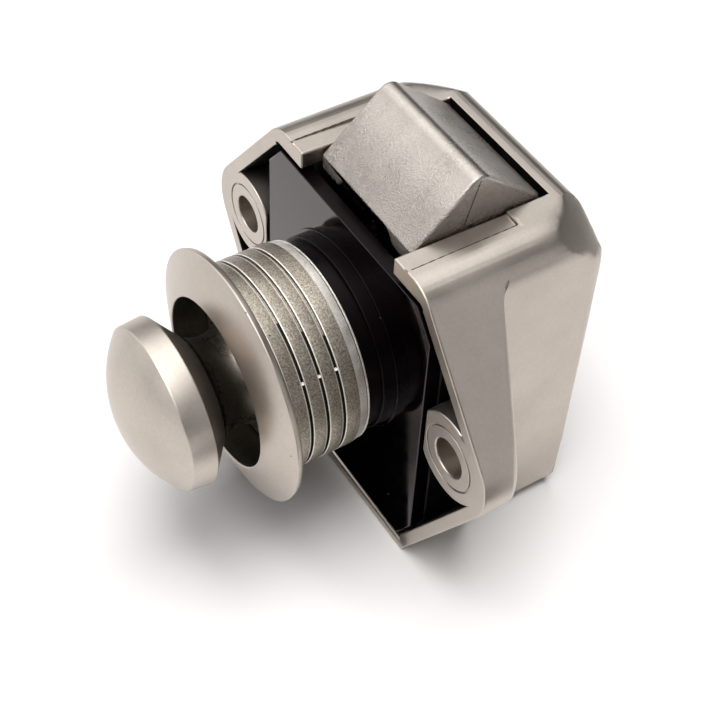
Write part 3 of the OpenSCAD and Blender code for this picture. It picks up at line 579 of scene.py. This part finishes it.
# Width of the round at each edge: the rim's, or on the ears' backs a share of the distance from the box
def casingWidth(middle, normalOne, normalTwo):
    k = casingLook
    beside = np.abs(middle[:, 0]) - k["boxHalf"]
    onBack = ((np.maximum(normalOne[:, 1], normalTwo[:, 1]) > k["backFacing"]) & (beside > 0)
              & (middle[:, 1] > k["rimDepth"]))
    width = np.where(onBack, np.minimum(k["earBack"], k["earShare"] * np.maximum(beside, 0)), k["rim"])
    return np.where(cornerShare(middle) > 0, 0, width)


# Slanted walls of an ear as directions and reaches: each is the tangent from a corner of the box to the ear's end
def earWalls(k):
    walls = []
    for corner, side in k["corners"]:
        apart = (corner[0] - k["end"][0], corner[1] - k["end"][1])
        angle = math.atan2(apart[1], apart[0]) + side * math.acos(k["endRadius"] / math.hypot(*apart))
        way = (math.cos(angle), math.sin(angle))
        walls.append((way, way[0] * corner[0] + way[1] * corner[1]))
    return walls


# Faces with painted shade: the ears' pockets, which lie inside both slanted walls and the round end, beside the box
# and off the screw boss, the back of the slot behind the bolt, and the ends of the box's walls inside the ears
def casingShadeMask(centre, normal):
    k = casingLook
    across, deep, up = np.abs(centre[:, 0]), centre[:, 1], centre[:, 2]
    inEar = np.ones(len(centre), bool)
    for way, reach in earWalls(k):
        inEar &= across * way[0] + up * way[1] < reach - k["wall"] + k["slack"]
    fromEnd = np.hypot(across - k["end"][0], up - k["end"][1])
    inEar &= (across < k["end"][0]) | (fromEnd < k["endRadius"] - k["wall"] + k["slack"])
    offBoss = np.hypot(across - k["holeAt"], up) > k["bossRadius"] + k["slack"]
    inPocket = inEar & offBoss & (across > k["boxHalf"] - k["pocketIn"])
    inPocket &= (deep > k["pocket"][0]) & (deep < k["pocket"][1])
    inSlot = (normal[:, 1] < -k["facing"]) & (deep > k["slotFrom"]) & (up > k["slotFrom"]) & (up < k["top"])
    onWallEnd = ((np.abs(deep - k["cheekEnd"]) < k["slack"] / 2) & (across < k["boxHalf"] + k["slack"])
                 & (across > k["boxHalf"] - k["boxWall"] - k["cheekIn"]))
    return inPocket | inSlot | onWallEnd


# The casing's second material is painted shade in its hollows
casing = castCopy("casing", "casingShell", [satinNickel, paintedShadeInHollows], casingLook, casingWidth, casingShadeMask,
                  blendCorners)
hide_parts("casing")
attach(casing, "lock")

# Bolt: the CAD shape with a rounder ridge. The slopes rise a little, from their foot, and what then lies outside
# a round that touches both of them is drawn back to it
boltLook = {"edge": 0.4, "widest": 0.4, "share": 0.3, "leastAngle": 24, "steps": 4, "foot": 19.4, "lift": 0.045,
            "ridge": (11.1, 26.85), "front": (2.5, 19.4), "rear": (19.85, 20.1), "radius": 1.8, "fan": 12,
            "slopeFacing": 0.3, "slopeFrom": 20}


def roundRidge(work):
    k = boltLook

    def lifted(height):
        return height + max(height - k["foot"], 0) * k["lift"]

    for v in work.verts:
        v.co.z = lifted(v.co.z / mm) * mm
    peak, front, rear = [np.array((spot[0], lifted(spot[1]))) for spot in (k["ridge"], k["front"], k["rear"])]
    a, b = (front - peak) / np.linalg.norm(front - peak), (rear - peak) / np.linalg.norm(rear - peak)
    half = math.acos(float(a @ b)) / 2
    centre = peak + (a + b) / np.linalg.norm(a + b) * k["radius"] / math.sin(half)
    touches = [peak + side * k["radius"] / math.tan(half) - centre for side in (a, b)]
    angles = sorted(math.atan2(t[1], t[0]) for t in touches)
    for angle in np.linspace(*angles, k["fan"]):
        slopes = [f for f in work.faces if f.normal.z > k["slopeFacing"]
                  and f.calc_center_median().z > k["slopeFrom"] * mm]
        cutFaces(work, slopes, Vector((0, *(centre * mm))), Vector((0, -math.sin(angle), math.cos(angle))))
    for v in work.verts:
        apart = np.array((v.co.y, v.co.z)) / mm - centre
        angle = math.atan2(apart[1], apart[0])
        if np.hypot(*apart) > k["radius"] and angles[0] - 1e-6 < angle < angles[1] + 1e-6:
            v.co.y, v.co.z = (centre + apart / np.hypot(*apart) * k["radius"]) * mm


boltHead = castCopy("latch_bolt", "roofBolt", [roughCastNickel], boltLook, evenWidth(boltLook), None, roundRidge)
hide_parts("latch_bolt")
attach(boltHead, "bolt")

# Front plate: glossy on the face that looks out, deep black elsewhere, with small rounds
plateLook = {"edge": 0.14, "widest": 0.14, "share": 0.3, "leastAngle": 24, "steps": 3, "facing": 0.9, "face": -0.3}
plate = castCopy("front_plate", "facePlate", [glossyBlack, deepBlack], plateLook, evenWidth(plateLook),
                 lambda centre, normal: (normal[:, 1] > -plateLook["facing"]) | (centre[:, 1] < plateLook["face"]))
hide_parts("front_plate")
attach(plate, "lock")
print("cast and moulded pieces made")


# Painted shade line: a dark strip between two points on a face, a hair above it, for the shade in a seam or at a
# step. Its width is swelled by one plus two waves, each with its height and its turn for each step
lineLook = {"steps": 40, "waves": [(0.35, 1.9), (0.2, 4.7)], "above": 0.012}


def paintedShadeLine(name, start, end, normal, width, body):
    steps = lineLook["steps"]
    along = np.linspace(start, end, steps)
    across = np.cross(np.gradient(along, axis=0), normal)
    across /= np.linalg.norm(across, axis=1)[:, None]
    swell = 1 + sum(height * np.sin(np.arange(steps) * turn) for height, turn in lineLook["waves"])
    half = (width / 2 * swell)[:, None]
    lifted = along + np.array(normal) * lineLook["above"]
    points = np.concatenate([lifted - across * half, lifted + across * half]) * mm
    i = np.arange(steps - 1)
    piece = newPiece(name, points, np.stack([i, i + 1, i + 1 + steps, i + steps], 1), [lineShade])
    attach(piece, body)


# Painted shade lines: one down each end of the bolt, in its seam, and one along the recess's step on each side of it
seamLook = {"end": 9.41, "top": (11.0, 26.2), "foot": (9.35, 20.35), "width": 0.09}
recessLook = {"beside": 12.2, "front": (0.6, 20.3), "rear": (14.7, 20.3), "width": 0.1}
for side, word in ((-1, "Left"), (1, "Right")):
    paintedShadeLine("boltSeamShade" + word, (side * seamLook["end"], *seamLook["top"]),
                (side * seamLook["end"], *seamLook["foot"]), (side, 0, 0), seamLook["width"], "bolt")
    paintedShadeLine("recessStepShade" + word, (side * recessLook["beside"], *recessLook["front"]),
                (side * recessLook["beside"], *recessLook["rear"]), (0, 0, 1), recessLook["width"],
                "lock")

# Springs: round wire along a coil. The point at angle a of the coil and t of the wire lies at the coil's radius
# plus the wire's cos t from the axis, and at the coil's rise plus the wire's sin t along it
springLook = {"wire": 0.8, "rings": 28, "sides": 12,
              "knob": {"radius": 6.8, "length": 11.1, "curls": 2.5, "start": (0, -0.2, 0)},
              "bolt": {"radius": 3.0, "length": 9.8, "curls": 3, "start": (5.5, 11.0, -22.9)}}


def coilSpring(name, look, side, along):
    wire, sides = springLook["wire"], springLook["sides"]
    steps = int(look["curls"] * springLook["rings"])
    a = np.linspace(0, 2 * math.pi * look["curls"], steps + 1)
    run = wire / 2 + (look["length"] - wire) * np.linspace(0, 1, steps + 1)
    t = np.linspace(0, 2 * math.pi, sides, endpoint=False)
    reach = look["radius"] + wire / 2 * np.cos(t)[None, :]
    local = np.stack([reach * np.cos(a)[:, None], reach * np.sin(a)[:, None],
                      run[:, None] + wire / 2 * np.sin(t)[None, :]], -1)
    if along == "-Y":
        local = np.stack([local[..., 0], -local[..., 2], local[..., 1]], -1)
    points = (local + np.array(look["start"]) * (side, 1, 1)).reshape(-1, 3) * mm
    i, j = np.arange(steps)[:, None], np.arange(sides)[None, :]
    n = (j + 1) % sides
    quads = np.stack([i * sides + j, i * sides + n, (i + 1) * sides + n, (i + 1) * sides + j], -1).reshape(-1, 4)
    piece = newPiece(name, points, quads, [springWire])
    work = bmesh.new()
    work.from_mesh(piece.data)
    bmesh.ops.holes_fill(work, edges=[e for e in work.edges if e.is_boundary])
    bmesh.ops.recalc_face_normals(work, faces=work.faces)
    work.to_mesh(piece.data)
    work.free()
    return piece


knobSpring = coilSpring("knobSpring", springLook["knob"], 1, "-Y")
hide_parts("button_spring")
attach(knobSpring, "lock")
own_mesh(knobSpring)
for side, word in ((-1, "left"), (1, "right")):
    spring = coilSpring("boltSpring_" + word, springLook["bolt"], side, "+Z")
    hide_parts("bolt_spring_" + word)
    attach(spring, "lock")
    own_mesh(spring)
print("springs made")

# The works keep their CAD shapes and take their own finishes
worksFinish = {"chassis": dullBlack, "spring_foot": dullBlack, "spindle_bush": turnedBrass,
               "spring_washer": turnedSteel, "follower_pivot": turnedSteel, "follower_leaf": springWire,
               "spring_pins": turnedSteel, "bolt_slide": turnedSteel, "slide_rivets": turnedSteel,
               "spindle": turnedSteel, "lock_nose": turnedSteel, "cam_arm": turnedSteel,
               "heart_cam": turnedSteel, "retaining_ring": springWire, "track_follower": turnedSteel,
               "follower_pin": turnedSteel}
for nodeName, finish in worksFinish.items():
    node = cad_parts[nodeName]
    for slot in node.material_slots:
        slot.material = finish
    if not node.material_slots:
        node.data.materials.append(finish)
print("works dressed")

# Floor: a white sheet that keeps the object's shadow and shows white to the camera and to mirrors. Its height in
# millimetres, its half width and the distances at which it turns white in metres
stageLook = {"floor": -26.9, "half": 3.0, "colour": "#efedec", "rough": 0.9, "specular": 0.1,
             "back": "#ffffff", "litTo": 0.16, "whiteFrom": 0.5}


# Flat piece of the stage, which isn't part of the lock
def stageSheet(name, points, faces, material):
    mesh = bpy.data.meshes.new(name)
    mesh.from_pydata(points.tolist(), [], faces)
    mesh.materials.append(material)
    sheet = bpy.data.objects.new(name, mesh)
    bpy.context.scene.collection.objects.link(sheet)
    return sheet


sheetMaterial, tree = newMaterial("whitePaperSheet")
sheet = addNode(tree, "ShaderNodeBsdfPrincipled", None,
                {"Base Color": linearColour(stageLook["colour"]), "Roughness": stageLook["rough"],
                 "Specular IOR Level": stageLook["specular"]})
# Far from the lock the lamps reach the sheet less and less, so the camera and mirrors see it glow white there
far = addNode(tree, "ShaderNodeVectorMath", {"operation": "LENGTH"},
              {0: addNode(tree, "ShaderNodeTexCoord").outputs["Object"]})
farShare = addNode(tree, "ShaderNodeMapRange", {"interpolation_type": "SMOOTHSTEP"},
                   {"Value": far.outputs["Value"], "From Min": stageLook["litTo"], "From Max": stageLook["whiteFrom"],
                    "To Min": 0.0, "To Max": 1.0})
seenBy = addNode(tree, "ShaderNodeLightPath")
seen = addNode(tree, "ShaderNodeMath", {"operation": "MAXIMUM"},
               {0: seenBy.outputs["Is Camera Ray"], 1: seenBy.outputs["Is Glossy Ray"]})
glowShare = addNode(tree, "ShaderNodeMath", {"operation": "MULTIPLY"},
                    {0: farShare.outputs["Result"], 1: seen.outputs["Value"]})
glow = addNode(tree, "ShaderNodeEmission", None, {"Color": linearColour(stageLook["back"]), "Strength": 1.0})
sheetMix = addNode(tree, "ShaderNodeMixShader", None,
                   {0: glowShare.outputs["Value"], 1: sheet.outputs["BSDF"], 2: glow.outputs["Emission"]})
addNode(tree, "ShaderNodeOutputMaterial", None, {"Surface": sheetMix.outputs["Shader"]})
floorPoints = np.array([(x * stageLook["half"], y * stageLook["half"], stageLook["floor"] * mm)
                        for x, y in ((-1, -1), (1, -1), (1, 1), (-1, 1))])
stageSheet("whiteSheet", floorPoints, [[0, 1, 2, 3]], sheetMaterial)

# Black cards on the floor that only mirrors see, a painted reflection of shade: one to the right, which darkens the
# side of the collar, and one under the plate's lower half, a painted shadow of the floor that the plate mirrors.
# Corners as x and y
cardLook = {"above": 0.4, "colour": "#0b0a0a", "corners": [
    (50, -34), (420, 127), (420, 178), (50, 17), (-37, -13), (-2, -13), (17, -0.4), (-20, -0.4)]}
cardMaterial, tree = newMaterial("mirrorOnlyShadeCard")
cardShadeSurface = addNode(tree, "ShaderNodeBsdfPrincipled", None,
                 {"Base Color": linearColour(cardLook["colour"]), "Roughness": 1.0, "Specular IOR Level": 0.0})
addNode(tree, "ShaderNodeOutputMaterial", None, {"Surface": cardShadeSurface.outputs["BSDF"]})
cardPoints = np.array([(x, y, stageLook["floor"] + cardLook["above"]) for x, y in cardLook["corners"]]) * mm
card = stageSheet("blackCard", cardPoints, [[0, 1, 2, 3], [4, 5, 6, 7]], cardMaterial)
card.visible_camera = card.visible_diffuse = card.visible_shadow = card.visible_transmission = False

# World: nothing for diffuse light, and for mirrors a pale room with lit and dark parts. Each level belongs to a
# direction, and the directions spread evenly from the zenith to just below the horizon, each a golden angle
# further round. A level is full in its own direction and fades out at the outer angle. Two zones are added: a
# window in front above, and a dim wall behind
roomLook = {"diffuse": 0.0, "least": 0.02, "white": 1.0, "lowest": -0.06, "outer": 30, "levels": [
    1.19, 0.99, 1.46, 0.04, 0.96, 1.38, 0.61, 0.97, 0, 1.05, 1.04,
    0, 0.43, 0.2, 0.23, 0.74, 0.16, 0.38, 0.19, 0, 0.19, 0.05,
    0, 0.64, 0.11, 0.74, 0, 0, 0.17, 0.59, 0, 0.12, 0,
    0.76, 0, 0, 0.3, 0.1, 0.48, 0, 0, 0.45, 0, 0],
    "zones": {"window": {"way": (0.0, -0.42, 0.91), "inner": 4, "outer": 14, "gain": 3.0},
              "behind": {"way": (0.1, 0.98, 0.1), "inner": 8, "outer": 36, "gain": 0.18}}}
world = bpy.data.worlds.new("paleRoom")
bpy.context.scene.world = world
world.use_nodes = True
tree = world.node_tree
tree.nodes.clear()
way = addNode(tree, "ShaderNodeTexCoord").outputs["Generated"]
turnStep = math.pi * (3 - math.sqrt(5))
zones = []
for i, gain in enumerate(roomLook["levels"]):
    height = 1 - (i + 0.5) / len(roomLook["levels"]) * (1 - roomLook["lowest"])
    away = math.sqrt(1 - height * height)
    zones.append({"way": (away * math.cos(i * turnStep), away * math.sin(i * turnStep), height),
                  "inner": 0, "outer": roomLook["outer"], "gain": gain})
zones += roomLook["zones"].values()
level = 0.0
for zone in zones:
    if zone["gain"] == 0:
        continue
    facing = addNode(tree, "ShaderNodeVectorMath", {"operation": "DOT_PRODUCT"},
                     {0: way, 1: Vector(zone["way"]).normalized()})
    share = addNode(tree, "ShaderNodeMapRange", {"interpolation_type": "SMOOTHSTEP"},
                    {"Value": facing.outputs["Value"], "From Min": math.cos(math.radians(zone["outer"])),
                     "From Max": math.cos(math.radians(zone["inner"])), "To Min": 0.0, "To Max": zone["gain"]})
    level = addNode(tree, "ShaderNodeMath", {"operation": "ADD"},
                    {0: level, 1: share.outputs["Result"]}).outputs["Value"]
level = addNode(tree, "ShaderNodeMath", {"operation": "MAXIMUM"}, {0: level, 1: roomLook["least"]})
rays = addNode(tree, "ShaderNodeLightPath")
mirrors = addNode(tree, "ShaderNodeMath", {"operation": "MAXIMUM"},
                  {0: rays.outputs["Is Glossy Ray"], 1: rays.outputs["Is Transmission Ray"]})
forMirrors = addNode(tree, "ShaderNodeMix", {"data_type": "FLOAT"},
                     {"Factor": mirrors.outputs["Value"], 2: roomLook["diffuse"], 3: level.outputs["Value"]})
strength = addNode(tree, "ShaderNodeMix", {"data_type": "FLOAT"},
                   {"Factor": rays.outputs["Is Camera Ray"], 2: forMirrors.outputs[0], 3: roomLook["white"]})
room = addNode(tree, "ShaderNodeBackground", None,
               {"Color": linearColour(stageLook["back"]), "Strength": strength.outputs[0]})
addNode(tree, "ShaderNodeOutputWorld", None, {"Surface": room.outputs["Background"]})

# Soft lamps: square panels that look at the lock, sizes in metres and powers in watts. Mirrors see the room instead
lampLook = {
    "overhead": {"at": (0.0, 0.0, 0.6), "size": 0.45, "power": 4.08},
    "frontRight": {"at": (0.141, -0.244, 0.53), "size": 0.45, "power": 2.26},
    "left": {"at": (-0.425, -0.246, 0.344), "size": 0.45, "power": 0.22},
}
for name, look in lampLook.items():
    panel = bpy.data.lights.new(name, "AREA")
    panel.shape, panel.size, panel.energy = "SQUARE", look["size"], look["power"]
    lamp = bpy.data.objects.new(name, panel)
    lamp.location = look["at"]
    lamp.rotation_euler = (-Vector(look["at"])).to_track_quat("-Z", "Y").to_euler()
    lamp.visible_glossy = False
    bpy.context.scene.collection.objects.link(lamp)
print("stage and light made")

# Camera: solved from measured points of the picture, on a square frame. Its place in millimetres and its axes
cameraLook = {"at": (103.36, -68.18, 134.51), "right": (0.53051621, 0.84679274, 0.03866022),
              "down": (0.64912342, -0.37649956, -0.66097417), "forward": (-0.54515258, 0.37575277, -0.74941212),
              "lens": 75.66, "sensor": 36, "nearest": 0.005}
cameraData = bpy.data.cameras.new("tableCamera")
cameraData.lens, cameraData.sensor_width = cameraLook["lens"], cameraLook["sensor"]
cameraData.clip_start = cameraLook["nearest"]
camera = bpy.data.objects.new("tableCamera", cameraData)
camera.matrix_world = Matrix([
    [cameraLook["right"][i], -cameraLook["down"][i], -cameraLook["forward"][i], cameraLook["at"][i] * mm]
    for i in range(3)] + [[0, 0, 0, 1]])
bpy.context.scene.collection.objects.link(camera)
bpy.context.scene.camera = camera
bpy.context.scene.view_settings.view_transform = "Standard"
